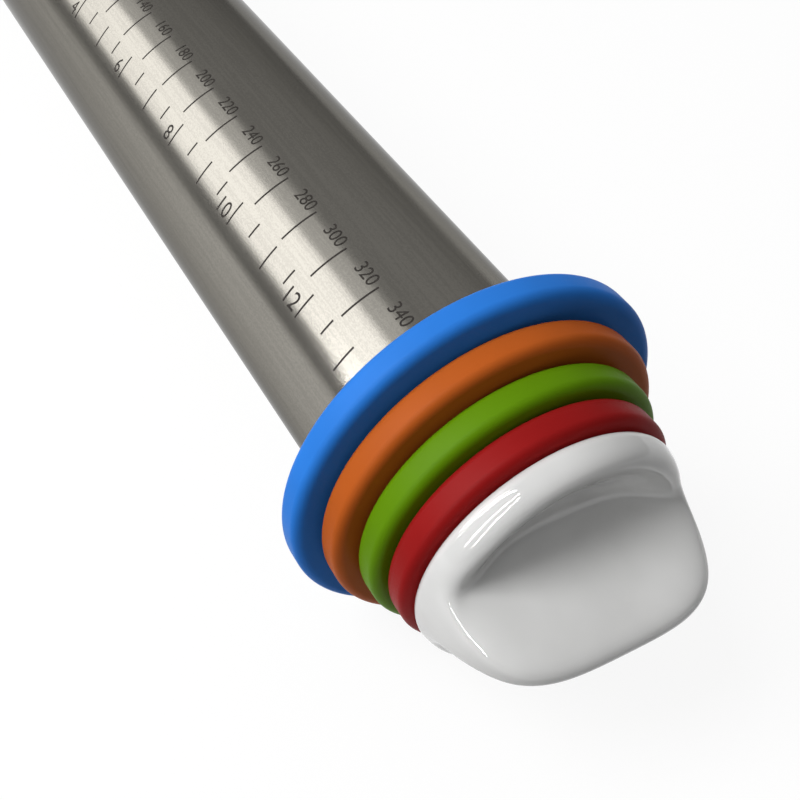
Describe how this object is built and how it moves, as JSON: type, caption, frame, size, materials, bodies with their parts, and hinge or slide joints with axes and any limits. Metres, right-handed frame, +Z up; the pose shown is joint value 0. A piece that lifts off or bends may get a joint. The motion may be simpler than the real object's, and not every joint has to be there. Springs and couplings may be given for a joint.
{
  "type": "adjustable rolling pin",
  "caption": "Steel rolling pin with a dough-width scale, stacked thickness rings at each end and screw-in finger knobs that hold them.",
  "frame": {"origin": "under the middle of the pin, on the surface that its two largest rings stand on", "axes": "+X along the pin's axis towards the high end of its scale, +Z up, -Y the side that the scale faces"},
  "size_m": [0.4354, 0.0632, 0.0632],
  "materials": {
    "brushed_steel": "satin, fine lines along the tube",
    "plug_grey": "moulded, matte",
    "ring_blue": "satin moulded plastic",
    "ring_orange": "satin moulded plastic",
    "ring_green": "satin moulded plastic",
    "ring_red": "satin moulded plastic",
    "knob_white": "glossy moulded plastic"
  },
  "bodies": {
    "pin": {"rolling_tube": "brushed_steel", "end_plug_right": "plug_grey", "end_plug_left": "plug_grey"},
    "blue_right": {"ring_blue_right": "ring_blue"},
    "orange_right": {"ring_orange_right": "ring_orange"},
    "green_right": {"ring_green_right": "ring_green"},
    "red_right": {"ring_red_right": "ring_red"},
    "knob_right": {"knob_right": "knob_white"},
    "blue_left": {"ring_blue_left": "ring_blue"},
    "orange_left": {"ring_orange_left": "ring_orange"},
    "green_left": {"ring_green_left": "ring_green"},
    "red_left": {"ring_red_left": "ring_red"},
    "knob_left": {"knob_left": "knob_white"}
  },
  "joints": [
    {"name": "blue_right_slide", "type": "slide", "parent": "pin", "child": "blue_right", "axis": [1, 0, 0], "range_m": [0, 0.004]},
    {"name": "orange_right_slide", "type": "slide", "parent": "blue_right", "child": "orange_right", "axis": [1, 0, 0], "range_m": [0, 0.004]},
    {"name": "green_right_slide", "type": "slide", "parent": "orange_right", "child": "green_right", "axis": [1, 0, 0], "range_m": [0, 0.004]},
    {"name": "red_right_slide", "type": "slide", "parent": "green_right", "child": "red_right", "axis": [1, 0, 0], "range_m": [0, 0.004]},
    {"name": "knob_right_unscrew", "type": "hinge", "parent": "red_right", "child": "knob_right", "pos_m": [0.1971, 0, 0.03158], "axis": [1, 0, 0], "range_deg": [0, 1440]},
    {"name": "blue_left_slide", "type": "slide", "parent": "pin", "child": "blue_left", "axis": [-1, 0, 0], "range_m": [0, 0.004]},
    {"name": "orange_left_slide", "type": "slide", "parent": "blue_left", "child": "orange_left", "axis": [-1, 0, 0], "range_m": [0, 0.004]},
    {"name": "green_left_slide", "type": "slide", "parent": "orange_left", "child": "green_left", "axis": [-1, 0, 0], "range_m": [0, 0.004]},
    {"name": "red_left_slide", "type": "slide", "parent": "green_left", "child": "red_left", "axis": [-1, 0, 0], "range_m": [0, 0.004]},
    {"name": "knob_left_unscrew", "type": "hinge", "parent": "red_left", "child": "knob_left", "pos_m": [-0.1971, 0, 0.03158], "axis": [-1, 0, 0], "range_deg": [0, 1440]}
  ],
  "couplings": [
    {"joint": "blue_right_slide", "follows": "red_right_slide", "ratio": 1},
    {"joint": "orange_right_slide", "follows": "red_right_slide", "ratio": 1},
    {"joint": "green_right_slide", "follows": "red_right_slide", "ratio": 1},
    {"joint": "knob_right_unscrew", "follows": "red_right_slide", "rad_per_m": 6283.2},
    {"joint": "blue_left_slide", "follows": "red_left_slide", "ratio": 1},
    {"joint": "orange_left_slide", "follows": "red_left_slide", "ratio": 1},
    {"joint": "green_left_slide", "follows": "red_left_slide", "ratio": 1},
    {"joint": "knob_left_unscrew", "follows": "red_left_slide", "rad_per_m": 6283.2}
  ]
}
